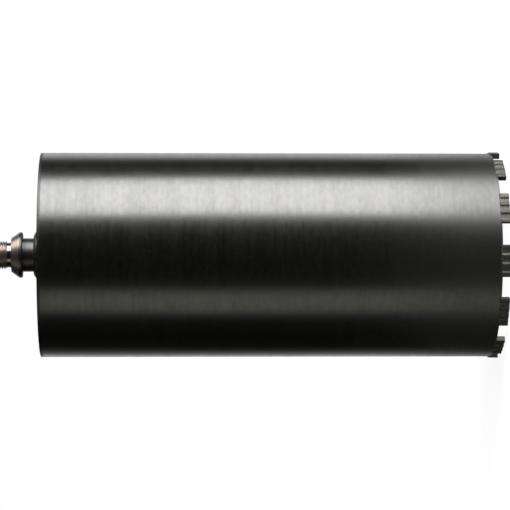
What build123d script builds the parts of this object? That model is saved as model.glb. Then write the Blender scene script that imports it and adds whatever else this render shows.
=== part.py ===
"""Diamond core bit for wet drilling in concrete, standing on its cutting segments.

The bit is a turned and welded assembly, built in the order in which it is made:

* barrel_tube    thin-walled steel tube, open at the cutting end
* back_plate     disc that closes the tube, with a rim flush with it and a spigot in its bore
* spindle_hub    one turned piece: spigot, boss, neck, flange, seating cone, undercut and male end,
                 drilled through for the cooling water
* hub_weld       fillet weld round the foot of the boss
* segment_01...  grooved diamond segments, welded in a ring to the open end of the tube

Frame: millimetres, +Z up along the bit's axis from the segment tips to the connector, with the
origin on the axis in the plane of the tips. Segment 01 is centred on -Y, and the numbers go on
anticlockwise seen from above.
"""

from build123d import *
from math import degrees, radians, tan
import os

# ---- driving dimensions, mm ---------------------------------------------------------------------

# barrel
TUBE_DIAMETER = 150.0
TUBE_WALL = 2.5
TUBE_LENGTH = 328.0

# back plate
PLATE_RIM = 2.0  # thickness of the rim that sits on the end of the tube
PLATE_EDGE = 0.4  # break of the rim's rear edge
PLATE_SPIGOT = 4.0  # how far the plate reaches into the tube

# spindle hub, from the plate outwards
HUB_SPIGOT_DIAMETER = 26.0
BOSS_HEIGHT = 5.3
BOSS_SHOULDER = 2.5  # flat ring between the neck and the bevel
BOSS_BEVEL_AXIAL = 2.1
BOSS_BEVEL_RADIAL = 3.2
NECK_DIAMETER = 24.6
NECK_LENGTH = 8.3
FLANGE_STEP = 4.4  # how far the flange stands out from the neck
FLANGE_LAND = 2.3
FLANGE_EDGE = 0.4
CONE_LENGTH = 5.8
CONE_HALF_ANGLE = 35.0
UNDERCUT_DEPTH = 1.2  # below the crest of the thread
UNDERCUT_LENGTH = 3.0
THREAD_DIAMETER = 20.955  # major diameter of a G 1/2 pipe thread
THREAD_LENGTH = 20.0
THREAD_LEAD = 1.2
WATER_BORE_DIAMETER = 10.0
WATER_BORE_CHAMFER = 0.8

# weld round the boss
WELD_LEG = 2.6

# diamond segments
SEGMENT_COUNT = 12
SEGMENT_LENGTH = 23.2  # along the arc of the outer face
SEGMENT_HEIGHT = 6.0
SEGMENT_PROUD_OUTSIDE = 1.0  # how far the segment stands out from the tube's outer wall
SEGMENT_PROUD_INSIDE = 0.5
SEGMENT_TOE = 1.2  # how far the weld toe climbs the outside of the tube

# grooves in both faces of a segment
GROOVE_COUNT = 3
GROOVE_DEPTH = 0.8
GROOVE_FLOOR = 2.8  # width of the flat floor
GROOVE_WALL = 1.2  # width that each slanting wall takes up
GROOVE_LAND = 1.2  # width of the ridge between two grooves
GROOVE_OFFSET = 0.6  # the row's middle lies this far from the segment's middle

# ---- radii and heights worked out from them -----------------------------------------------------

TUBE_OUTER_R = TUBE_DIAMETER / 2
TUBE_INNER_R = TUBE_OUTER_R - TUBE_WALL
SEGMENT_OUTER_R = TUBE_OUTER_R + SEGMENT_PROUD_OUTSIDE
SEGMENT_INNER_R = TUBE_INNER_R - SEGMENT_PROUD_INSIDE
HUB_SPIGOT_R = HUB_SPIGOT_DIAMETER / 2
NECK_R = NECK_DIAMETER / 2
BOSS_NOSE_R = NECK_R + BOSS_SHOULDER
BOSS_R = BOSS_NOSE_R + BOSS_BEVEL_RADIAL
FLANGE_R = NECK_R + FLANGE_STEP
CONE_NOSE_R = FLANGE_R - CONE_LENGTH * tan(radians(CONE_HALF_ANGLE))
THREAD_R = THREAD_DIAMETER / 2
UNDERCUT_R = THREAD_R - UNDERCUT_DEPTH
WATER_BORE_R = WATER_BORE_DIAMETER / 2

TUBE_LOW_Z = SEGMENT_HEIGHT
TUBE_HIGH_Z = TUBE_LOW_Z + TUBE_LENGTH
PLATE_INSIDE_Z = TUBE_HIGH_Z - PLATE_SPIGOT
PLATE_FACE_Z = TUBE_HIGH_Z + PLATE_RIM
BOSS_FACE_Z = PLATE_FACE_Z + BOSS_HEIGHT
FLANGE_LOW_Z = BOSS_FACE_Z + NECK_LENGTH
CONE_LOW_Z = FLANGE_LOW_Z + FLANGE_LAND
CONE_HIGH_Z = CONE_LOW_Z + CONE_LENGTH
THREAD_LOW_Z = CONE_HIGH_Z + UNDERCUT_LENGTH
THREAD_HIGH_Z = THREAD_LOW_Z + THREAD_LENGTH

NEAR = 1e-4  # tolerance for finding an edge by its size


def circles_at(part, radius, height):
    """The full circles of a turned piece that have this radius and lie at this height."""
    circles = part.edges().filter_by(GeomType.CIRCLE)
    same_radius = circles.filter_by(lambda edge: abs(edge.radius - radius) < NEAR)
    return same_radius.filter_by(lambda edge: abs(edge.arc_center.Z - height) < NEAR)


# ---- turned pieces ------------------------------------------------------------------------------


def make_barrel_tube():
    """The plain tube, open at both ends until the plate and the segments are on it."""
    with BuildPart() as tube:
        with BuildSketch(Plane.XY.offset(TUBE_LOW_Z)):
            Circle(TUBE_OUTER_R)
            Circle(TUBE_INNER_R, mode=Mode.SUBTRACT)
        extrude(amount=TUBE_LENGTH)
    return tube


def make_back_plate():
    """The disc that closes the tube: a rim flush with the tube's wall and a spigot inside it."""
    with BuildPart() as plate:
        with BuildSketch(Plane.XY.offset(PLATE_INSIDE_Z)):
            Circle(TUBE_INNER_R)
        extrude(amount=PLATE_SPIGOT)
        with BuildSketch(Plane.XY.offset(TUBE_HIGH_Z)):
            Circle(TUBE_OUTER_R)
        extrude(amount=PLATE_RIM)
        chamfer(circles_at(plate, TUBE_OUTER_R, PLATE_FACE_Z), length=PLATE_EDGE)
        with Locations((0, 0, PLATE_FACE_Z)):
            Hole(radius=HUB_SPIGOT_R)
    return plate


def make_spindle_hub():
    """The connector, turned from one bar and drilled through along its axis."""
    with BuildPart() as hub:
        with BuildSketch(Plane.XZ):
            with BuildLine():
                Polyline(
                    (WATER_BORE_R, PLATE_INSIDE_Z),
                    (HUB_SPIGOT_R, PLATE_INSIDE_Z),
                    (HUB_SPIGOT_R, PLATE_FACE_Z),
                    (BOSS_R, PLATE_FACE_Z),
                    (BOSS_R, BOSS_FACE_Z - BOSS_BEVEL_AXIAL),
                    (BOSS_NOSE_R, BOSS_FACE_Z),
                    (NECK_R, BOSS_FACE_Z),
                    (NECK_R, FLANGE_LOW_Z),
                    (FLANGE_R, FLANGE_LOW_Z),
                    (FLANGE_R, CONE_LOW_Z),
                    (CONE_NOSE_R, CONE_HIGH_Z),
                    (UNDERCUT_R, CONE_HIGH_Z),
                    (UNDERCUT_R, THREAD_LOW_Z),
                    (THREAD_R, THREAD_LOW_Z + UNDERCUT_DEPTH),
                    (THREAD_R, THREAD_HIGH_Z),
                    (WATER_BORE_R, THREAD_HIGH_Z),
                    close=True,
                )
            make_face()
        revolve(axis=Axis.Z)
        chamfer(circles_at(hub, FLANGE_R, FLANGE_LOW_Z), length=FLANGE_EDGE)
        chamfer(circles_at(hub, THREAD_R, THREAD_HIGH_Z), length=THREAD_LEAD)
        chamfer(circles_at(hub, WATER_BORE_R, THREAD_HIGH_Z), length=WATER_BORE_CHAMFER)
    return hub


def make_hub_weld():
    """The fillet weld in the corner between the boss and the plate."""
    with BuildPart() as weld:
        with BuildSketch(Plane.XZ):
            with BuildLine():
                Polyline(
                    (BOSS_R, PLATE_FACE_Z),
                    (BOSS_R + WELD_LEG, PLATE_FACE_Z),
                    (BOSS_R, PLATE_FACE_Z + WELD_LEG),
                    close=True,
                )
            make_face()
        revolve(axis=Axis.Z)
    return weld


# ---- diamond segments ---------------------------------------------------------------------------


def make_segment(number):
    """One segment: a curved block with its weld toe, and a row of grooves in each face.

    The rows lie a little off the middle. Going round the ring, the segments sit two one way round,
    then two the other way round.
    """
    middle = -90 + (number - 1) * 360 / SEGMENT_COUNT
    spread = degrees(SEGMENT_LENGTH / SEGMENT_OUTER_R)
    way_round = -1 if number // 2 % 2 else 1
    row_middle = middle + degrees(way_round * GROOVE_OFFSET / SEGMENT_OUTER_R)
    with BuildPart() as segment:
        with BuildSketch(Plane.XZ.rotated((0, 0, middle - spread / 2))):
            with BuildLine():
                Polyline(
                    (SEGMENT_INNER_R, 0),
                    (SEGMENT_OUTER_R, 0),
                    (SEGMENT_OUTER_R, TUBE_LOW_Z),
                    (TUBE_OUTER_R, TUBE_LOW_Z + SEGMENT_TOE),
                    (TUBE_OUTER_R, TUBE_LOW_Z),
                    (SEGMENT_INNER_R, TUBE_LOW_Z),
                    close=True,
                )
            make_face()
        revolve(axis=Axis.Z, revolution_arc=spread)
        with BuildSketch(Plane.XY):
            draw_groove_row(SEGMENT_OUTER_R, row_middle, 1)
            draw_groove_row(SEGMENT_INNER_R, row_middle, -1)
        extrude(amount=TUBE_LOW_Z + SEGMENT_TOE, mode=Mode.SUBTRACT)
    return segment


def draw_groove_row(radius, row_middle, outward):
    """Draw the sections of one row of grooves, in a face of this radius, for the sketch around it.

    Each is a trapezoid whose walls go on in a straight line past the face, so that it opens the
    curved face fully. Outward is 1 on the outer face and -1 on the inner face.
    """
    past = GROOVE_DEPTH / 2
    floor_half = GROOVE_FLOOR / 2
    past_half = floor_half + GROOVE_WALL * (GROOVE_DEPTH + past) / GROOVE_DEPTH
    pitch = GROOVE_FLOOR + 2 * GROOVE_WALL + GROOVE_LAND
    for index in range(GROOVE_COUNT):
        along = pitch * (index - (GROOVE_COUNT - 1) / 2)
        angle = row_middle + degrees(along / SEGMENT_OUTER_R)
        on_face = Vector(radius, 0, 0).rotate(Axis.Z, angle)
        with Locations(Location(on_face, (0, 0, angle))):
            Polygon(
                (-outward * GROOVE_DEPTH, -floor_half),
                (outward * past, -past_half),
                (outward * past, past_half),
                (-outward * GROOVE_DEPTH, floor_half),
                align=None,
            )


# ---- build and export ---------------------------------------------------------------------------


def export(builder, name):
    """Write one piece as its own STEP file, labelled with its name."""
    builder.part.label = name
    export_step(builder.part, f"parts/{name}.step")
    print(f"{name}: {builder.part.volume / 1000:.2f} cm3")


os.makedirs("parts", exist_ok=True)
export(make_barrel_tube(), "barrel_tube")
export(make_back_plate(), "back_plate")
export(make_spindle_hub(), "spindle_hub")
export(make_hub_weld(), "hub_weld")
for segment_number in range(1, SEGMENT_COUNT + 1):
    export(make_segment(segment_number), f"segment_{segment_number:02d}")
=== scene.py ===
# %% [markdown]
# # A diamond core bit, dressed in Blender
#
# A core bit is a steel tube that cuts a ring out of concrete. Its rear end is closed by a welded plate that
# carries the connector, and its open end carries twelve grooved segments of metal and diamond.
# The CAD model fixes every size. This notebook loads it, makes a finer skin for each of its solids,
# gives the skins their finishes, and sets up floor, light and camera.

# %% Load the CAD model
from math import atan2, cos, degrees, pi, radians, sin

import bpy
from mathutils import Matrix, Vector


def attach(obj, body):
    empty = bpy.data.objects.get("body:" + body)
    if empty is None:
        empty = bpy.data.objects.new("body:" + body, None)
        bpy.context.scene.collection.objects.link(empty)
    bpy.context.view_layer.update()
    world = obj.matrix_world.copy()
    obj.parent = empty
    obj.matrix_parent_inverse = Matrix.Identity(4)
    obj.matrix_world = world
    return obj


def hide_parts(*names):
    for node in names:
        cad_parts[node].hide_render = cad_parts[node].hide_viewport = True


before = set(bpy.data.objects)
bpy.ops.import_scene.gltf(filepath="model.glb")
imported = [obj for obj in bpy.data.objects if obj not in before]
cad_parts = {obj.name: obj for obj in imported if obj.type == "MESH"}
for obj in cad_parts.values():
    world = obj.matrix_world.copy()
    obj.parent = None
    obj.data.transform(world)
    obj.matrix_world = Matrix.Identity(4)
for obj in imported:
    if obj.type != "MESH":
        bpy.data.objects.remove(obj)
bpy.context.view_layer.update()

print("CAD nodes:", ", ".join(sorted(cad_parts)))

# %% [markdown]
# ## Beginning and closing a piece
#
# Every piece begins as a primitive, and three small helpers serve them all. An operator acts on all that is selected,
# so a piece begins from an empty selection. Its place then goes into its mesh, which leaves the object itself at
# the origin, where the CAD nodes are too. At the end its seams are merged and its faces point outwards.

# %% Begin and close
mm = 0.001  # Blender works in metres here, and every size below is written in millimetres
SAME_PLACE = 0.001 * mm  # corners closer than this are one corner


def select_nothing():
    bpy.ops.object.select_all(action="DESELECT")


def open_new(name):
    """Names the primitive that was just added and opens it in edit mode, with all of it selected."""
    piece = bpy.context.object
    piece.name = piece.data.name = name
    bpy.ops.object.transform_apply(location=True, rotation=False, scale=False)
    bpy.ops.object.mode_set(mode="EDIT")
    bpy.ops.mesh.select_all(action="SELECT")
    return piece


def close_and_turn_outwards():
    """In edit mode: merges the doubled corners of a seam and points every face outwards."""
    bpy.ops.mesh.select_all(action="SELECT")
    bpy.ops.mesh.remove_doubles(threshold=SAME_PLACE)
    bpy.ops.mesh.normals_make_consistent(inside=False)


print(f"corners closer than {SAME_PLACE / mm:g} mm are merged")

# %% [markdown]
# ## The turning helper
#
# Nearly every piece of this bit comes off a lathe, so one helper makes them all. It adds a circle, which is the
# first ring of the piece, and extrudes that ring from station to station, moving it along the axis and
# scaling it to the next radius, as a lathe tool follows its profile. The Spin tool would make the same
# shape from a drawn section. Rings are easier to read here, because each one is a radius and a height
# that can be compared with the CAD model.

# %% Ring by ring, like a lathe
def turn(name, stations, sides):
    """A closed ring-shaped solid through these stations, each a (radius, height) in millimetres."""
    select_nothing()
    radius, height = stations[0]
    bpy.ops.mesh.primitive_circle_add(vertices=sides, radius=radius * mm, location=(0, 0, height * mm))
    piece = open_new(name)
    for next_radius, next_height in [*stations[1:], stations[0]]:
        bpy.ops.mesh.extrude_region_move(TRANSFORM_OT_translate={"value": (0, 0, (next_height - height) * mm)})
        wider = next_radius / radius
        bpy.ops.transform.resize(value=(wider, wider, 1), center_override=(0, 0, next_height * mm))
        radius, height = next_radius, next_height
    close_and_turn_outwards()
    bpy.ops.object.mode_set(mode="OBJECT")
    return piece


def report(piece):
    """Prints how large a piece came out, to be held against the CAD model."""
    corners = [Vector(corner) / mm for corner in piece.bound_box]
    low, high = (Vector(map(extreme, *corners)) for extreme in (min, max))
    print(f"{piece.name}: {len(piece.data.polygons)} faces, z {low.z:.2f} to {high.z:.2f}, "
          f"radius {max(high.x, high.y):.2f} mm")


# %% [markdown]
# A machined edge is never perfectly sharp. The Bevel modifier rounds every edge that is steeper than a given
# angle, so that it catches a thin line of light. It is applied at once, because the finished piece has to be
# plain mesh, and then the flat faces are smoothed up to that angle.

# %% Rounding the edges
def activate(piece):
    """Selects one piece alone and makes it the active one, on which modifiers are applied."""
    select_nothing()
    piece.select_set(True)
    bpy.context.view_layer.objects.active = piece


def apply_modifier(piece, modifier):
    activate(piece)
    bpy.ops.object.modifier_apply(modifier=modifier.name)


def smooth(piece, up_to):
    """Smooths the shading across edges that turn by less than this many degrees."""
    activate(piece)
    bpy.ops.object.shade_smooth_by_angle(angle=radians(up_to))


def round_edges(piece, width, steeper_than=25):
    """Rounds the edges of a piece by this many millimetres and smooths what is left between them."""
    bevel = piece.modifiers.new("edge rounding", "BEVEL")
    bevel.width = width * mm
    bevel.segments = 2
    bevel.limit_method = "ANGLE"
    bevel.angle_limit = radians(steeper_than)
    apply_modifier(piece, bevel)
    smooth(piece, up_to=steeper_than)


# %% [markdown]
# ## The barrel
#
# The barrel is a plain tube with a thin wall, ground all over and coated black. On so plain a piece the silhouette
# and the highlight are everything, so it gets 256 sides. The CAD model's own mesh has far fewer, and its flats
# would show in the long reflection.

# %% Barrel
TUBE_LOW, TUBE_HIGH = 6, 334
TUBE_OUTER, TUBE_INNER = 75, 72.5
BARREL_SIDES = 256

barrel = turn("barrel", [
    (TUBE_INNER, TUBE_LOW), (TUBE_OUTER, TUBE_LOW), (TUBE_OUTER, TUBE_HIGH), (TUBE_INNER, TUBE_HIGH),
], BARREL_SIDES)
round_edges(barrel, width=0.15)
report(barrel)

# %% [markdown]
# ## The back plate
#
# The plate sits in the end of the tube. Its rim is flush with the tube's wall, and was turned there after the two
# were welded, which is why its finish is duller than the tube's. The rings of the visible face are stepped
# closely, so that its faces don't become long splinters.

# %% Back plate
PLATE_INSIDE, PLATE_FACE = 330, 336
HUB_HOLE = 13
PLATE_EDGE = 0.4
INSIDE_RING, FACE_RINGS = 40, (56, 38, 24)

back_plate = turn("back_plate_turned", [
    (HUB_HOLE, PLATE_INSIDE), (INSIDE_RING, PLATE_INSIDE), (TUBE_INNER, PLATE_INSIDE), (TUBE_INNER, TUBE_HIGH),
    (TUBE_OUTER, TUBE_HIGH), (TUBE_OUTER, PLATE_FACE - PLATE_EDGE), (TUBE_OUTER - PLATE_EDGE, PLATE_FACE),
    *((ring, PLATE_FACE) for ring in FACE_RINGS), (HUB_HOLE, PLATE_FACE),
], BARREL_SIDES)
round_edges(back_plate, width=0.12)
report(back_plate)

# %% [markdown]
# ## The connector
#
# The connector is one turned piece: a boss on the plate, a neck, a flange, and a cone that seats in the machine's
# spindle. The profile follows the lathe outwards along the boss, neck, flange, cone and undercut, then comes back
# through the water bore. The thread above the undercut is a piece of its own.

# %% Connector without its thread
WATER_BORE = 5
BOSS, BOSS_NOSE, NECK, FLANGE, CONE_NOSE, UNDERCUT = 18, 14.8, 12.3, 16.7, 12.64, 9.28  # radii
BOSS_SHOULDER, BOSS_FACE, FLANGE_LOW = 339.2, 341.3, 349.6  # heights
CONE_LOW, CONE_HIGH, THREAD_LOW = 351.9, 357.7, 360.7
FLANGE_EDGE = 0.4
CONNECTOR_SIDES = 160

connector = turn("connector", [
    (WATER_BORE, PLATE_INSIDE), (HUB_HOLE, PLATE_INSIDE), (HUB_HOLE, PLATE_FACE), (BOSS, PLATE_FACE),
    (BOSS, BOSS_SHOULDER), (BOSS_NOSE, BOSS_FACE), (NECK, BOSS_FACE), (NECK, FLANGE_LOW),
    (FLANGE - FLANGE_EDGE, FLANGE_LOW), (FLANGE, FLANGE_LOW + FLANGE_EDGE), (FLANGE, CONE_LOW),
    (CONE_NOSE, CONE_HIGH), (UNDERCUT, CONE_HIGH), (UNDERCUT, THREAD_LOW), (WATER_BORE, THREAD_LOW),
], CONNECTOR_SIDES)
round_edges(connector, width=0.2)
report(connector)

# %% [markdown]
# ## Drawing with a point
#
# Some sections are easier to draw than to build from rings. A small plane is merged to a single point, and extruding
# that point from corner to corner leaves the outline behind it, as a pen does. The thread's tooth and the
# segment's section both begin this way.

# %% A pen
def start_at_point(name, radius, height):
    """A new piece that is a single point at this radius and height, open in edit mode."""
    select_nothing()
    bpy.ops.mesh.primitive_plane_add(size=mm, location=(radius * mm, 0, height * mm))
    piece = open_new(name)
    bpy.ops.mesh.merge(type="CENTER")
    return piece


def draw_on(corners):
    """In edit mode: extrudes the selected point from each (radius, height) to the next, in millimetres."""
    for (radius, height), (next_radius, next_height) in zip(corners, corners[1:]):
        step = ((next_radius - radius) * mm, 0, (next_height - height) * mm)
        bpy.ops.mesh.extrude_region_move(TRANSFORM_OT_translate={"value": step})


# %% [markdown]
# ## The thread
#
# The machine end is a half-inch pipe thread with 14 turns to the inch. One tooth is drawn as an outline, from root
# over crest to root. The Screw modifier then winds that outline up the axis, rising by one pitch per turn, so
# that each turn's last edge meets the next turn's first.
# A real helix is worth the trouble: stacked rings look the same from the side, but not at the ends.

# %% Wind the thread
PITCH = 25.4 / 14
CREST, TOOTH_DEPTH = 10.46, 0.6403 * PITCH
ROOT = CREST - TOOTH_DEPTH
CREST_ROUNDING = 0.12
THREAD_HIGH = 380.7
TOOTH = [(ROOT, 0), (ROOT, 0.08), (CREST - CREST_ROUNDING, 0.39), (CREST, 0.44), (CREST, 0.56),
         (CREST - CREST_ROUNDING, 0.61), (ROOT, 0.92), (ROOT, 1)]  # radius in mm and height in pitches
TURNS = round((THREAD_HIGH - THREAD_LOW) / PITCH) + 3  # some to spare at both ends, which are trimmed off below
STEPS_IN_A_TURN = 72

thread = start_at_point("pipe_thread", ROOT, THREAD_LOW - PITCH)
draw_on([(radius, pitches * PITCH) for radius, pitches in TOOTH])
bpy.ops.object.mode_set(mode="OBJECT")

screw = thread.modifiers.new("winding", "SCREW")
screw.screw_offset = PITCH * mm
screw.iterations = TURNS
screw.steps = screw.render_steps = STEPS_IN_A_TURN
apply_modifier(thread, screw)
print(f"thread: {TURNS} turns of {PITCH:.3f} mm, {len(thread.data.polygons)} faces")

# %% [markdown]
# The wound outline is an open skin. Two bisecting planes trim it to a rod and fill its ends. The rod is then cut
# with a turned blank by a Boolean modifier set to intersect, and the blank gives the thread its bevelled ends
# and its water bore, exactly as the bar had them before the thread was cut. Where the two skins cross almost at a
# corner, the cut leaves slivers without any width, which are dissolved.

# %% Trim the thread with a turned blank
BLANK, LEAD, BORE_BEVEL = 10.4775, 1.2, 0.8
BLANK_SIDES = 144
SPARE = 0.3  # how far the rod reaches past the blank at each end

bpy.ops.object.mode_set(mode="EDIT")
close_and_turn_outwards()
for height, clear_above in ((THREAD_LOW - SPARE, False), (THREAD_HIGH + SPARE, True)):
    bpy.ops.mesh.select_all(action="SELECT")
    bpy.ops.mesh.bisect(plane_co=(0, 0, height * mm), plane_no=(0, 0, 1), use_fill=True,
                        clear_outer=clear_above, clear_inner=not clear_above)
bpy.ops.object.mode_set(mode="OBJECT")

blank = turn("thread_blank", [
    (WATER_BORE, THREAD_LOW), (BLANK - LEAD, THREAD_LOW), (BLANK, THREAD_LOW + LEAD), (BLANK, THREAD_HIGH - LEAD),
    (BLANK - LEAD, THREAD_HIGH), (WATER_BORE + BORE_BEVEL, THREAD_HIGH), (WATER_BORE, THREAD_HIGH - BORE_BEVEL),
], BLANK_SIDES)
cut = thread.modifiers.new("blank", "BOOLEAN")
cut.operation, cut.solver, cut.object = "INTERSECT", "EXACT", blank
apply_modifier(thread, cut)
bpy.data.objects.remove(blank)

bpy.ops.object.mode_set(mode="EDIT")
bpy.ops.mesh.select_all(action="SELECT")
bpy.ops.mesh.dissolve_degenerate(threshold=SAME_PLACE)
bpy.ops.object.mode_set(mode="OBJECT")
smooth(thread, up_to=25)
report(thread)

# %% [markdown]
# ## The weld round the boss
#
# A hand-laid weld is a row of overlapping drops. One drop is a sphere squashed along the weld and turned a little, so
# that the ripples slant. Spin, set to duplicate, copies it round the boss, and a voxel Remesh melts the row into
# one skin. A displacement map would give ripples too, but not the pinched outline where the drops meet.

# %% Weld bead
DROPS = 76
DROP_AT_RADIUS, DROP_HEIGHT, DROP_RADIUS = 18.7, 336.75, 1.75
DROP_SQUASH, DROP_SLANT = 0.62, 24  # the second in degrees
VOXEL = 0.24

drop_centre = (DROP_AT_RADIUS * mm, 0, DROP_HEIGHT * mm)
select_nothing()
bpy.ops.mesh.primitive_uv_sphere_add(segments=16, ring_count=10, radius=DROP_RADIUS * mm, location=drop_centre)
weld = open_new("weld_bead")
bpy.ops.transform.resize(value=(1, DROP_SQUASH, 1), center_override=drop_centre)
bpy.ops.transform.rotate(value=radians(DROP_SLANT), orient_axis="Z", center_override=drop_centre)
bpy.ops.mesh.spin(steps=DROPS - 1, dupli=True, angle=2 * pi * (DROPS - 1) / DROPS,
                  center=(0, 0, 0), axis=(0, 0, 1))
bpy.ops.object.mode_set(mode="OBJECT")

melt = weld.modifiers.new("melting", "REMESH")
melt.mode, melt.voxel_size = "VOXEL", VOXEL * mm
apply_modifier(weld, melt)
settle = weld.modifiers.new("settling", "SMOOTH")
settle.factor, settle.iterations = 0.5, 2
apply_modifier(weld, settle)
smooth(weld, up_to=60)
report(weld)

# %% [markdown]
# ## One diamond segment
#
# A segment is pressed from metal powder and diamond grit. Its two curved faces have three wide grooves each, which
# carry the water and the slurry. The section is drawn once, as a closed outline, and spun round the axis in
# unequal parts: one for every ridge, groove wall and groove floor. Then only the floors have to be moved
# inwards, and the walls between them slant by themselves.

# %% Section and stations of the segment
SEGMENT_COUNT = 12
SEGMENT_OUTER, SEGMENT_INNER = 75.93, 72  # the first is a hair under 76, so that no corner leaves the CAD mesh
WELD_TOE = 1.2
SECTION = [(SEGMENT_INNER, 0), (SEGMENT_OUTER, 0), (SEGMENT_OUTER, TUBE_LOW), (TUBE_OUTER, TUBE_LOW + WELD_TOE),
           (TUBE_OUTER, TUBE_LOW), (SEGMENT_INNER, TUBE_LOW)]  # radius and height

ARC_RADIUS = 76  # the radius at which arc lengths are measured
SEGMENT_LENGTH = 23.2  # along the arc
GROOVE_FLOOR, GROOVE_WALL, GROOVE_LAND, GROOVE_DEPTH = 2.8, 1.2, 1.2, 0.8
ROW_OFFSET = 0.6

groove_to_groove = GROOVE_FLOOR + 2 * GROOVE_WALL + GROOVE_LAND
middles = [index * groove_to_groove + ROW_OFFSET for index in (-1, 0, 1)]
floors = [(middle - GROOVE_FLOOR / 2, middle + GROOVE_FLOOR / 2) for middle in middles]
stations = [-SEGMENT_LENGTH / 2, SEGMENT_LENGTH / 2]
for low, high in floors:
    stations += [low - GROOVE_WALL, low, high, high + GROOVE_WALL]
stations.sort()
print("arc lengths at which a ridge, a wall or a floor begins:", [round(station, 2) for station in stations])

# %% [markdown]
# The outline is first turned to one end of the segment. Spin extrudes it round the axis, and the outline that each spin
# leaves selected is the start of the next one. The two ends stay open, and only their edges belong to a single
# face. Select Non Manifold finds them by that, and they are filled.

# %% Spin the segment's block
USUAL_STEP = 1.4  # along the arc

segment = start_at_point("diamond_segment", *SECTION[0])
draw_on([*SECTION, SECTION[0]])
bpy.ops.mesh.select_all(action="SELECT")
bpy.ops.mesh.remove_doubles(threshold=SAME_PLACE)
bpy.ops.transform.rotate(value=SEGMENT_LENGTH / 2 / ARC_RADIUS, orient_axis="Z", center_override=(0, 0, 0))
for start, end in zip(stations, stations[1:]):
    bpy.ops.mesh.spin(steps=max(1, round((end - start) / USUAL_STEP)), angle=(start - end) / ARC_RADIUS,
                      center=(0, 0, 0), axis=(0, 0, 1))
bpy.ops.mesh.select_all(action="DESELECT")
bpy.ops.mesh.select_non_manifold()
bpy.ops.mesh.edge_face_add()
close_and_turn_outwards()
bpy.ops.object.mode_set(mode="OBJECT")
report(segment)
spun = sorted(atan2(corner.co.y, corner.co.x) for corner in segment.data.vertices)
print(f"it reaches from {degrees(spun[0]):.2f} to {degrees(spun[-1]):.2f} degrees round the axis")

# %% [markdown]
# The grooves' floors are selected in code, by the angle and the radius of their corners, and scaled about the axis.
# A factor a little under one moves the outer face inwards, and one a little over moves the inner face outwards.

# %% Sink the grooves
NEAR = 0.02  # how close a corner has to lie to count as on a face or in a floor


def select_corners(piece, chosen):
    """Leaves the piece in edit mode with just the corners selected for which chosen(position in mm) is true."""
    bpy.context.view_layer.objects.active = piece
    bpy.ops.object.mode_set(mode="EDIT")
    bpy.ops.mesh.select_all(action="DESELECT")
    bpy.ops.object.mode_set(mode="OBJECT")
    for corner in piece.data.vertices:
        corner.select = chosen(corner.co / mm)
    bpy.ops.object.mode_set(mode="EDIT")


def on_floor(position, face_radius):
    """Whether a corner of the spun block belongs to the floor of a groove in the face of this radius."""
    along = atan2(position.y, position.x) * ARC_RADIUS
    in_a_floor = any(low - NEAR < along < high + NEAR for low, high in floors)
    return in_a_floor and abs(position.xy.length - face_radius) < NEAR


for face_radius, sunk_by in ((SEGMENT_OUTER, GROOVE_DEPTH), (SEGMENT_INNER, -GROOVE_DEPTH)):
    select_corners(segment, lambda position: on_floor(position, face_radius))
    factor = (face_radius - sunk_by) / face_radius
    bpy.ops.transform.resize(value=(factor, factor, 1), center_override=(0, 0, 0))
    bpy.ops.object.mode_set(mode="OBJECT")
round_edges(segment, width=0.14, steeper_than=22)
report(segment)

# %% [markdown]
# ## The ring of segments
#
# The twelve segments are copies of the one above, each with its own mesh. Their grooves lie a little off the middle.
# Going round, two segments sit one way round and the next two the other way round, so half of the copies
# are mirrored. Mirroring turns a mesh inside out, and its normals are recalculated before it is turned to its place.

# %% Copy the segments round the tube
FIRST_AT = 90  # degrees from the first segment's middle, on -Y, to where the model segment lies, on +X

segments = []
for number in range(1, SEGMENT_COUNT + 1):
    copy = segment.copy()
    copy.data = segment.data.copy()
    copy.name = copy.data.name = f"diamond_segment_{number:02d}"
    bpy.context.collection.objects.link(copy)
    activate(copy)
    bpy.ops.object.mode_set(mode="EDIT")
    bpy.ops.mesh.select_all(action="SELECT")
    other_way_round = number // 2 % 2 == 1
    if other_way_round:
        bpy.ops.transform.resize(value=(1, -1, 1), center_override=(0, 0, 0))
        bpy.ops.mesh.normals_make_consistent(inside=False)
    clockwise = radians(FIRST_AT - (number - 1) * 360 / SEGMENT_COUNT)
    bpy.ops.transform.rotate(value=clockwise, orient_axis="Z", center_override=(0, 0, 0))
    bpy.ops.object.mode_set(mode="OBJECT")
    segments.append(copy)
bpy.data.objects.remove(segment)
print(f"{len(segments)} segments of {len(segments[0].data.polygons)} faces")

# %% [markdown]
# ## Tie the skins to the CAD model
#
# Each skin replaces the CAD node it was made for and rides on the one body of the model. The record's slot for its
# finish is printed beside it.

# %% Ride and replace
for piece, node, slot in [
    (barrel, "barrel_tube", "barrel_coating"),
    (back_plate, "back_plate", "barrel_coating"),
    (connector, "spindle_hub", "hub_steel"),
    (thread, "spindle_hub", "hub_steel"),
    (weld, "hub_weld", "weld_coating"),
    *((piece, piece.name.replace("diamond_", ""), "segment_matrix") for piece in segments),
]:
    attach(piece, "root")
    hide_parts(node)
    print(f"{piece.name} replaces {node}, slot {slot}")

# %% [markdown]
# ## Finishes
#
# A finish is a small network of shader nodes. One helper adds a node and fills its sockets, and a second one sets up
# a material with the values that are the same all over. The third feeds what varies to the material's shader.

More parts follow.
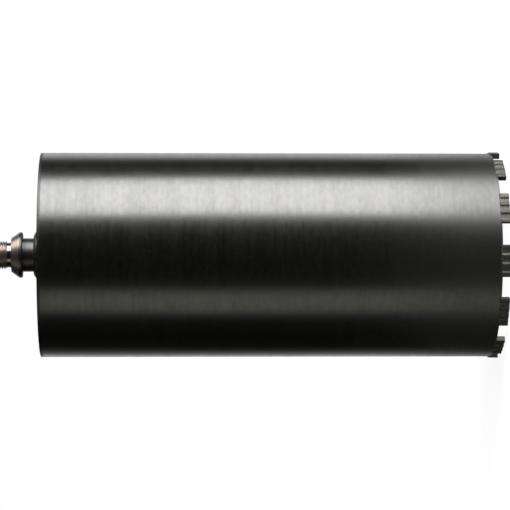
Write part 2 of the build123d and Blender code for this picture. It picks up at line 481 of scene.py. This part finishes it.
# %% Node helpers
def add(tree, kind, settings=None, *in_order, **by_name):
    """A new shader node. Its sockets are filled in order or by name, with a node, an output or a plain value."""
    made = tree.nodes.new("ShaderNode" + kind)
    for name, value in (settings or {}).items():
        setattr(made, name, value)
    filled = [*zip(made.inputs, in_order)]
    filled += [(made.inputs[name.replace("_", " ")], value) for name, value in by_name.items()]
    for socket, value in filled:
        if isinstance(value, bpy.types.Node):
            value = next(output for output in value.outputs if output.enabled)
        if isinstance(value, bpy.types.NodeSocket):
            tree.links.new(value, socket)
        else:
            socket.default_value = value
    return made


def new_finish(name, colour, **same_all_over):
    """A material, its tree and its Principled shader, with the plain values set on the shader's own sockets."""
    material = bpy.data.materials.new(name)
    material.use_nodes = True
    shader = material.node_tree.nodes["Principled BSDF"]
    shader.inputs["Base Color"].default_value = (*colour, 1)
    for socket, value in same_all_over.items():
        shader.inputs[socket.replace("_", " ")].default_value = value
    return material, material.node_tree, shader


def feed(tree, shader, socket, node):
    """Links a node's result to a socket of the shader."""
    tree.links.new(next(output for output in node.outputs if output.enabled), shader.inputs[socket])


# %% [markdown]
# All patterns read Object coordinates, which are metres here: a pattern scaled by 1000 repeats about once in every
# millimetre. Two patterns are drawn out round the axis, as all marks of a lathe or a grinding belt are.

# %% Patterns
def place_on(tree):
    """Where on the object a point lies, in metres from the object's origin."""
    return add(tree, "TexCoord").outputs["Object"]


def from_the_axis(tree):
    """How far from the axis a point lies, in metres."""
    flat = add(tree, "VectorMath", {"operation": "MULTIPLY"}, place_on(tree), (1, 1, 0))
    return add(tree, "VectorMath", {"operation": "LENGTH"}, flat)


def streaks(tree, along, round_the_axis):
    """Noise drawn out round the axis: so many features to the metre along the axis and round it."""
    squeezed = add(tree, "Mapping", None, place_on(tree), Scale=(round_the_axis, round_the_axis, along))
    return add(tree, "TexNoise", None, squeezed, Scale=1, Detail=3, Roughness=0.6)


def rings(tree, to_the_metre):
    """Noise that depends on the distance from the axis alone, like the marks of a facing tool."""
    return add(tree, "TexNoise", {"noise_dimensions": "1D"}, W=from_the_axis(tree), Scale=to_the_metre, Detail=2)


def mixed(tree, *patterns_and_shares):
    """One pattern from several: each one times its share, added up."""
    total = 0
    for pattern, share in patterns_and_shares:
        total = add(tree, "Math", {"operation": "MULTIPLY_ADD"}, pattern, share, total)
    return total


# %% [markdown]
# A pattern runs from 0 to 1, and nearly all of it lies near the middle. Three helpers stretch that middle and turn it
# into something to see: a number between two others, a blend of two colours, or a relief.

# %% From pattern to surface
NUMBERS_BETWEEN, COLOURS_BETWEEN = (0.3, 0.7), (0.35, 0.65)  # the part of the pattern that is stretched


def vary(tree, pattern, low, high):
    """Maps the middle of a pattern to the range from low to high."""
    start, end = NUMBERS_BETWEEN
    return add(tree, "MapRange", None, pattern, From_Min=start, From_Max=end, To_Min=low, To_Max=high)


def tint(tree, pattern, low, high):
    """Maps the middle of a pattern to a blend from one colour to another."""
    ramp = add(tree, "ValToRGB", None, pattern)
    for element, position, colour in zip(ramp.color_ramp.elements, COLOURS_BETWEEN, (low, high)):
        element.position, element.color = position, (*colour, 1)
    return ramp


def relief(tree, shader, pattern, depth):
    """Raises a pattern on the surface by up to this many millimetres."""
    feed(tree, shader, "Normal", add(tree, "Bump", None, Height=pattern, Distance=depth * mm, Strength=1))


# %% [markdown]
# ### Satin black
#
# The coat on the barrel is thin, and the fine lines of the grinding belt underneath still run round it. They do three
# things: they make the roughness, the gloss and the shade differ a little from place to place, they stand out as the
# finest relief, and they spread a reflection along the axis more than round it. The last is what the
# Anisotropic setting does, and turning it by a quarter sets its direction across the lines.
#
# The coat's black is warm, and its index of refraction is high, as a dark oxide's is. A Voronoi pattern whose
# cells are mostly empty leaves a speck of dust here and there.

# %% Satin black
COAT_DARK, COAT_LIGHT = (0.0035, 0.0035, 0.0028), (0.0078, 0.0078, 0.0064)
COAT_IOR = 2.8
COAT_ROUGHNESS_SPREAD = 0.06
COAT_GLOSS, COAT_GLOSS_SPREAD = 0.5, 0.075
COAT_ANISOTROPIC, QUARTER_TURN = 0.7, 0.25
DUST, DUST_TO_THE_METRE, DUST_RADIUS = (0.09, 0.09, 0.08), 130, 0.05  # the radius is a share of a cell
TOOL_MARK = 0.004  # the height of a tool mark, in mm


def dusted(tree, colour):
    """A colour with a speck of dust here and there."""
    cells = add(tree, "TexVoronoi", None, place_on(tree), Scale=DUST_TO_THE_METRE)
    speck = add(tree, "MapRange", None, cells.outputs["Distance"], From_Min=DUST_RADIUS, From_Max=DUST_RADIUS / 2)
    return add(tree, "MixRGB", None, speck, colour, (*DUST, 1))


def satin_black(name, roughness, marks, anisotropic=COAT_ANISOTROPIC, ior=COAT_IOR, rubbed=None):
    """The black coat over machining marks. Marks and rubbed take the tree, and make the pattern of the machining
    marks and the roughness that wear adds."""
    material, tree, shader = new_finish(
        name, COAT_DARK, IOR=ior, Anisotropic=anisotropic, Anisotropic_Rotation=QUARTER_TURN)
    pattern = marks(tree)
    feed(tree, shader, "Base Color", dusted(tree, tint(tree, pattern, COAT_DARK, COAT_LIGHT)))
    uneven = vary(tree, pattern, roughness - COAT_ROUGHNESS_SPREAD, roughness + COAT_ROUGHNESS_SPREAD)
    if rubbed:
        uneven = add(tree, "Math", {"operation": "ADD"}, uneven, rubbed(tree))
    feed(tree, shader, "Roughness", uneven)
    gloss = vary(tree, pattern, COAT_GLOSS + COAT_GLOSS_SPREAD, COAT_GLOSS - COAT_GLOSS_SPREAD)
    feed(tree, shader, "Specular IOR Level", gloss)
    relief(tree, shader, pattern, depth=TOOL_MARK)
    return material


# %% [markdown]
# On the barrel the belt has left fine lines, a mottle of a few millimetres and some faint bands. Near the segments,
# where the slurry of each cut rubs it, the coat is duller, and reflections widen there. The back plate was
# faced on a lathe, and its marks are rings. It and the connector get duller coats than the barrel.

# %% Three black coats
RUBBED_UP_TO, RUBBED = 110, 0.12  # mm above the tips, and the roughness added at the tips


def belt_marks(tree):
    lines, mottle, bands = streaks(tree, 900, 9), streaks(tree, 330, 170), streaks(tree, 150, 8)
    return mixed(tree, (lines, 0.2), (mottle, 0.45), (bands, 0.35))


def rubbed_by_slurry(tree):
    height = add(tree, "SeparateXYZ", None, place_on(tree)).outputs["Z"]
    return add(tree, "MapRange", {"interpolation_type": "SMOOTHSTEP"}, height,
               From_Min=RUBBED_UP_TO * mm, From_Max=0, To_Max=RUBBED)


barrel_coat = satin_black("satin_black_barrel", 0.34, belt_marks, rubbed=rubbed_by_slurry)
plate_coat = satin_black("satin_black_plate", 0.56, lambda tree: rings(tree, 700), ior=2.2)
connector_coat = satin_black("satin_black_connector", 0.46, lambda tree: streaks(tree, 1500, 20), anisotropic=0.55)
print("satin black made for the barrel, the plate and the connector")

# %% [markdown]
# ### The weld's black
#
# The weld has the same black over ripples, with no grinding marks, and its coat is thicker and smoother.

# %% Black on the weld
WELD_LIGHT = (0.012, 0.011, 0.01)
WELD_GRAIN = 0.06  # the height of its fine unevenness, in mm

weld_coat, tree, shader = new_finish("black_over_weld", COAT_DARK, IOR=1.8, Roughness=0.4)
mottle = add(tree, "TexNoise", None, place_on(tree), Scale=600, Detail=4)
feed(tree, shader, "Base Color", tint(tree, mottle, COAT_DARK, WELD_LIGHT))
relief(tree, shader, mottle, depth=WELD_GRAIN)
print("black made for the weld")

# %% [markdown]
# ### Bare turned steel
#
# The cone and the thread seat in the machine, so they stay uncoated. Turned steel has a tight pattern of tool marks
# round the axis, and a thin film of oil makes it look warm. In the thread, shade is painted into the colour: the
# finish darkens towards the axis, between the thread's crest and its root, where the teeth shade the roots. The
# undercut was cut last, with a fine feed, and shines more than the rest.

# %% Bare steel
STEEL_LOW, STEEL_HIGH = (0.60, 0.52, 0.46), (0.84, 0.75, 0.68)
STEEL_ANISOTROPIC = 0.85
# The brown that the thread's roots darken to is painted shade.
ROOT_SHADE = (0.52, 0.46, 0.42)


def painted_root_shade(tree, colour):
    """A colour with painted shade: it turns brown between the thread's crest and its root."""
    clean = add(tree, "MapRange", None, from_the_axis(tree), From_Min=ROOT * mm, From_Max=CREST * mm)
    return add(tree, "MixRGB", None, clean, (*ROOT_SHADE, 1), colour)


def bare_steel(name, metallic, smoothest, roughest, painted_shade=False):
    """Turned steel with its roughness between two values, and in the thread with shade painted into the roots."""
    material, tree, shader = new_finish(
        name, STEEL_HIGH, Metallic=metallic, Anisotropic=STEEL_ANISOTROPIC, Anisotropic_Rotation=QUARTER_TURN)
    marks = streaks(tree, 2200, 25)
    colour = tint(tree, marks, STEEL_LOW, STEEL_HIGH)
    feed(tree, shader, "Base Color", painted_root_shade(tree, colour) if painted_shade else colour)
    feed(tree, shader, "Roughness", vary(tree, marks, smoothest, roughest))
    relief(tree, shader, marks, depth=TOOL_MARK)
    return material


cone_steel = bare_steel("bare_steel_cone", 0.97, 0.44, 0.58)
undercut_steel = bare_steel("bare_steel_undercut", 1, 0.25, 0.33)
thread_steel = bare_steel("bare_steel_thread", 0.93, 0.36, 0.5, painted_shade=True)
print("bare steel made for the cone, the undercut and the thread")

# %% [markdown]
# ### Sintered metal and diamond
#
# A segment is grey metal powder pressed and sintered, with diamond grit of about a third of a millimetre all through.
# Voronoi cells of that size give the grains. The shortest distance to a cell's middle picks out one small
# spot in each cell, and the cell's random colour leaves most of them dark and makes a few of them lighter.

# %% Sintered metal
MATRIX_LOW, MATRIX_HIGH, GRIT = (0.10, 0.097, 0.088), (0.19, 0.184, 0.168), (0.38, 0.37, 0.32)
POWDER_TO_THE_METRE, GRAINS_TO_THE_METRE = 1500, 2600
GRIT_PROUD = 0.5  # how far a diamond stands out, as a share of the powder's relief
POWDER_RELIEF = 0.03  # in mm

matrix_metal, tree, shader = new_finish("sintered_metal", MATRIX_LOW, Metallic=0.85, IOR=1.8)
powder = add(tree, "TexNoise", None, place_on(tree), Scale=POWDER_TO_THE_METRE, Detail=5, Roughness=0.7)
grains = add(tree, "TexVoronoi", None, place_on(tree), Scale=GRAINS_TO_THE_METRE)
spots = add(tree, "MapRange", None, grains.outputs["Distance"], From_Min=0.42, From_Max=0.28)
few = add(tree, "MapRange", None, grains.outputs["Color"], From_Min=0.62, From_Max=0.68)
diamonds = add(tree, "Math", {"operation": "MULTIPLY"}, spots, few)
metal = tint(tree, powder, MATRIX_LOW, MATRIX_HIGH)
feed(tree, shader, "Base Color", add(tree, "MixRGB", None, diamonds, metal, (*GRIT, 1)))
feed(tree, shader, "Roughness", vary(tree, powder, 0.42, 0.62))
height = add(tree, "Math", {"operation": "MULTIPLY_ADD"}, diamonds, GRIT_PROUD, powder)
relief(tree, shader, height, depth=POWDER_RELIEF)
print("sintered metal made for the segments")

# %% [markdown]
# ### The inside of the barrel
#
# The tube's inner wall was never ground. It keeps the dull scale of the mill, with long lines along the axis from
# drawing the tube. The coordinates are squeezed the other way here, so that the noise runs up the wall.

# %% Mill scale inside
SCALE_MIDDLE, SCALE_LOW, SCALE_HIGH = (0.06, 0.053, 0.047), (0.035, 0.031, 0.028), (0.11, 0.095, 0.082)
DRAWN_LINE = 0.02  # the depth of a line from drawing the tube, in mm

mill_scale, tree, shader = new_finish("mill_scale_inside", SCALE_MIDDLE, Metallic=0.3)
drawn = streaks(tree, along=12, round_the_axis=500)
blotches = add(tree, "TexNoise", None, place_on(tree), Scale=45, Detail=5)
both = mixed(tree, (drawn, 0.5), (blotches, 0.5))
feed(tree, shader, "Base Color", tint(tree, both, SCALE_LOW, SCALE_HIGH))
feed(tree, shader, "Roughness", vary(tree, both, 0.5, 0.75))
relief(tree, shader, drawn, depth=DRAWN_LINE)
print("mill scale made for the inside of the barrel")

# %% [markdown]
# ### Laying the finishes on
#
# A piece with one finish gets it in its only slot. The barrel is coated outside and bare inside, so it gets a second
# slot. The connector is coated up to the flange, bare above it and fine in the undercut, so it gets three. The
# faces that belong to a slot are chosen in code, by where their middles are.

# %% Give the finishes to the pieces
def lay_on(piece, finish, *others):
    """Gives a piece its finish. Each other finish comes with a test, and goes to the faces whose middle passes it."""
    piece.data.materials.clear()
    piece.data.materials.append(finish)
    for face in piece.data.polygons:
        face.material_index = 0
    for index, (other, belongs) in enumerate(others, start=1):
        piece.data.materials.append(other)
        for face in piece.data.polygons:
            if belongs(face.center / mm):
                face.material_index = index


BARE_FROM = CONE_LOW - 0.9  # the flange's land is coated, and its upper edge is bare
UNDERCUT_FROM = CONE_HIGH + 0.1
WALL_WITHIN = TUBE_INNER + 0.05

lay_on(barrel, barrel_coat, (mill_scale, lambda middle: middle.xy.length < WALL_WITHIN))
lay_on(back_plate, plate_coat)
lay_on(connector, connector_coat, (cone_steel, lambda middle: middle.z > BARE_FROM),
       (undercut_steel, lambda middle: middle.z > UNDERCUT_FROM))
lay_on(thread, thread_steel)
lay_on(weld, weld_coat)
for piece in segments:
    lay_on(piece, matrix_metal)
print("finishes:", ", ".join(sorted(material.name for material in bpy.data.materials)))

# %% [markdown]
# ## Camera
#
# The bit lies across the picture, with its connector to the left, while the model stands on its segments. The camera is
# therefore rolled by a quarter turn: the picture's left is the model's up. It stands a little above the
# middle, looks at the axis, and is turned slightly round it. A long lens keeps the tube's sides parallel.

# %% Camera
TURN = radians(3.2)
CAMERA_FAR, CAMERA_HIGH, AIM_HIGH = 1.736, 0.2515, 0.1789  # metres
LENS = 166.35


def round_the_axis(turn, distance, height):
    """A point at this angle from -Y, this far from the axis and this high, in metres."""
    return Vector((sin(turn) * distance, -cos(turn) * distance, height))


def set_up(thing, place, aim, upwards):
    """Puts a camera or a lamp into the scene at a place and points it at another, with the given side up."""
    backwards = (place - aim).normalized()
    across = upwards.cross(backwards).normalized()
    turned = Matrix((across, backwards.cross(across), backwards)).transposed().to_4x4()
    thing.matrix_world = Matrix.Translation(place) @ turned
    bpy.context.collection.objects.link(thing)


camera = bpy.data.objects.new("camera", bpy.data.cameras.new("camera"))
camera.data.lens = LENS
to_the_right = Vector((cos(TURN), sin(TURN), 0))
set_up(camera, round_the_axis(TURN, CAMERA_FAR, CAMERA_HIGH), aim=Vector((0, 0, AIM_HIGH)), upwards=to_the_right)
bpy.context.scene.camera = camera
print("camera at", [round(value, 3) for value in camera.location])

# %% [markdown]
# ## Floor
#
# The bit stands on a round white table. Light Path tells which kind of ray asks for a colour: the camera's own rays,
# and those through glass, are given most of the white straight away, and mirrored rays a little of it. The rest of
# the white is light from the lamps, so the bit's shadow still shows. Only inside the barrel, where all would be
# shadow, is nearly all of the white given: light is painted there, and it takes that shadow away.

# %% Table top
TABLE_RADIUS, TABLE_SIDES = 0.3, 128
TABLE_GLOW, TABLE_GLOW_WITHIN, TABLE_GLOW_MIRRORED = 0.81, 0.96, 0.03
TABLE_COLOUR = (0.6, 0.6, 0.6)

select_nothing()
bpy.ops.mesh.primitive_circle_add(vertices=TABLE_SIDES, radius=TABLE_RADIUS, fill_type="NGON", location=(0, 0, 0))
table = bpy.context.object
table.name = "table"

white = bpy.data.materials.new("white_table")
white.use_nodes = True
white.cycles.emission_sampling = "NONE"
tree = white.node_tree
tree.nodes.clear()
path = add(tree, "LightPath")
seen = add(tree, "Math", {"operation": "MAXIMUM"}, path.outputs["Is Camera Ray"], path.outputs["Is Transmission Ray"])
mirrored = add(tree, "Math", {"operation": "MULTIPLY"}, path.outputs["Is Glossy Ray"], TABLE_GLOW_MIRRORED)
radius = add(tree, "VectorMath", {"operation": "LENGTH"}, place_on(tree))
# Inside the barrel the glow rises to TABLE_GLOW_WITHIN: painted light over the barrel's own shadow.
own_glow = add(tree, "MapRange", None, radius, From_Min=TUBE_INNER * mm, From_Max=TUBE_OUTER * mm,
               To_Min=TABLE_GLOW_WITHIN, To_Max=TABLE_GLOW)
strength = add(tree, "Math", {"operation": "MULTIPLY_ADD"}, seen, own_glow, mirrored)
glow = add(tree, "Emission", None, (1, 1, 1, 1), strength)
paint = add(tree, "BsdfDiffuse", None, (*TABLE_COLOUR, 1))
top_side = add(tree, "AddShader", None, glow, paint)
table.data.materials.append(white)
print(f"table of {TABLE_RADIUS} m radius")

# %% [markdown]
# Towards its edge the table fades out into the white world, and no line shows where it ends. From below it is clear,
# so that the cutting end can be seen, and lamps shine through it. Mirrored rays see little of it.

# %% Where the table is clear
TABLE_FADES_FROM = 0.08
TABLE_CLEAR_MIRRORED = 0.86

fading = add(tree, "MapRange", {"interpolation_type": "SMOOTHSTEP"}, radius,
             From_Min=TABLE_FADES_FROM, From_Max=TABLE_RADIUS)
mirrored_clear = add(tree, "Math", {"operation": "MULTIPLY"}, path.outputs["Is Glossy Ray"], TABLE_CLEAR_MIRRORED)
clear = fading
for other in (path.outputs["Is Shadow Ray"], mirrored_clear, add(tree, "NewGeometry").outputs["Backfacing"]):
    clear = add(tree, "Math", {"operation": "MAXIMUM"}, clear, other)
add(tree, "OutputMaterial", None, add(tree, "MixShader", None, clear, top_side, add(tree, "BsdfTransparent")))
print(f"the table fades out from {TABLE_FADES_FROM} m")

# %% [markdown]
# ## World
#
# Round the table the world is white as well, for the camera and through glass. What the black coat mirrors matters more
# than what lights it: a white wall behind the bit draws its two edges, and a dark room in front keeps the
# middle black. The world's direction vector tells which way a ray goes.

# %% World
ROOM_DARK, ROOM_AMBIENT = 0.004, 0.3
WALL_TURN = 173  # degrees from the camera to the wall's middle, round the axis
WALL_FULL, WALL_NONE = 24, 40  # degrees from the wall's middle: white up to the first, gone at the second

world = bpy.data.worlds.new("studio")
bpy.context.scene.world = world
world.use_nodes = True
world.cycles.sampling_method = "NONE"
tree = world.node_tree
tree.nodes.clear()
path = add(tree, "LightPath")
behind = add(tree, "VectorMath", {"operation": "DOT_PRODUCT"}, add(tree, "TexCoord").outputs["Generated"],
             round_the_axis(TURN + radians(WALL_TURN), 1, 0))
wall = add(tree, "MapRange", {"interpolation_type": "SMOOTHSTEP"}, behind,
           From_Min=cos(radians(WALL_NONE)), From_Max=cos(radians(WALL_FULL)))
mirrored = add(tree, "Math", {"operation": "MULTIPLY"}, wall, path.outputs["Is Glossy Ray"])
seen = add(tree, "Math", {"operation": "MAXIMUM"}, path.outputs["Is Camera Ray"], path.outputs["Is Transmission Ray"])
whiteness = add(tree, "Math", {"operation": "MAXIMUM"}, mirrored, seen)
room = add(tree, "MapRange", None, path.outputs["Is Glossy Ray"], To_Min=ROOM_AMBIENT, To_Max=ROOM_DARK)
level = add(tree, "MapRange", None, whiteness, To_Min=room)
add(tree, "OutputWorld", None, add(tree, "Background", None, (1, 1, 1, 1), level))
print(f"world: a white wall behind the bit, {2 * WALL_FULL} to {2 * WALL_NONE} degrees wide")

# %% [markdown]
# ## Lamps
#
# The long highlight is a tall softbox that stands nearly beside the bit, mirrored in its side. A curved mirror doubles
# angles: a highlight 34 degrees round the tube needs a lamp at 68 degrees. Its width sets how wide the
# highlight is, and it reaches below the table, so that the highlight fades only a little towards the cutting end.
# A weak card on the other side gives the faint second band, and a weaker one behind it lifts the lower edge. The
# key's power is the one at which a white thing that faces it is just white, so colours look as they are written.

# %% Lamps
LAMP_DISTANCE = 0.8


def softbox(name, turn, size, middle, watts, colour):
    """A rectangular lamp of this width and height in metres, upright, facing the axis at its own height."""
    lamp = bpy.data.objects.new(name, bpy.data.lights.new(name, "AREA"))
    lamp.data.shape = "RECTANGLE"
    lamp.data.size, lamp.data.size_y = size
    lamp.data.energy, lamp.data.color = watts, colour
    lamp.visible_camera = False
    place = round_the_axis(TURN + radians(turn), LAMP_DISTANCE, middle)
    set_up(lamp, place, aim=Vector((0, 0, middle)), upwards=Vector((0, 0, 1)))
    print(f"{name}: {watts} W, {turn} degrees round from the camera")


softbox("key_softbox", turn=68.3, size=(0.7, 1.66), middle=0.21, watts=11.9, colour=(1, 0.995, 0.985))
softbox("fill_card", turn=-52.5, size=(0.36, 1.6), middle=0.1, watts=0.53, colour=(1, 0.99, 0.82))
softbox("rim_card", turn=-141, size=(0.17, 1), middle=0.3, watts=0.1, colour=(1, 0.92, 0.82))

# %% [markdown]
# ## View settings
#
# Standard shows the colours as the scene has them, with no film look laid over. White stays white.

# %% View settings
bpy.context.scene.view_settings.view_transform = "Standard"
print("view transform:", bpy.context.scene.view_settings.view_transform)
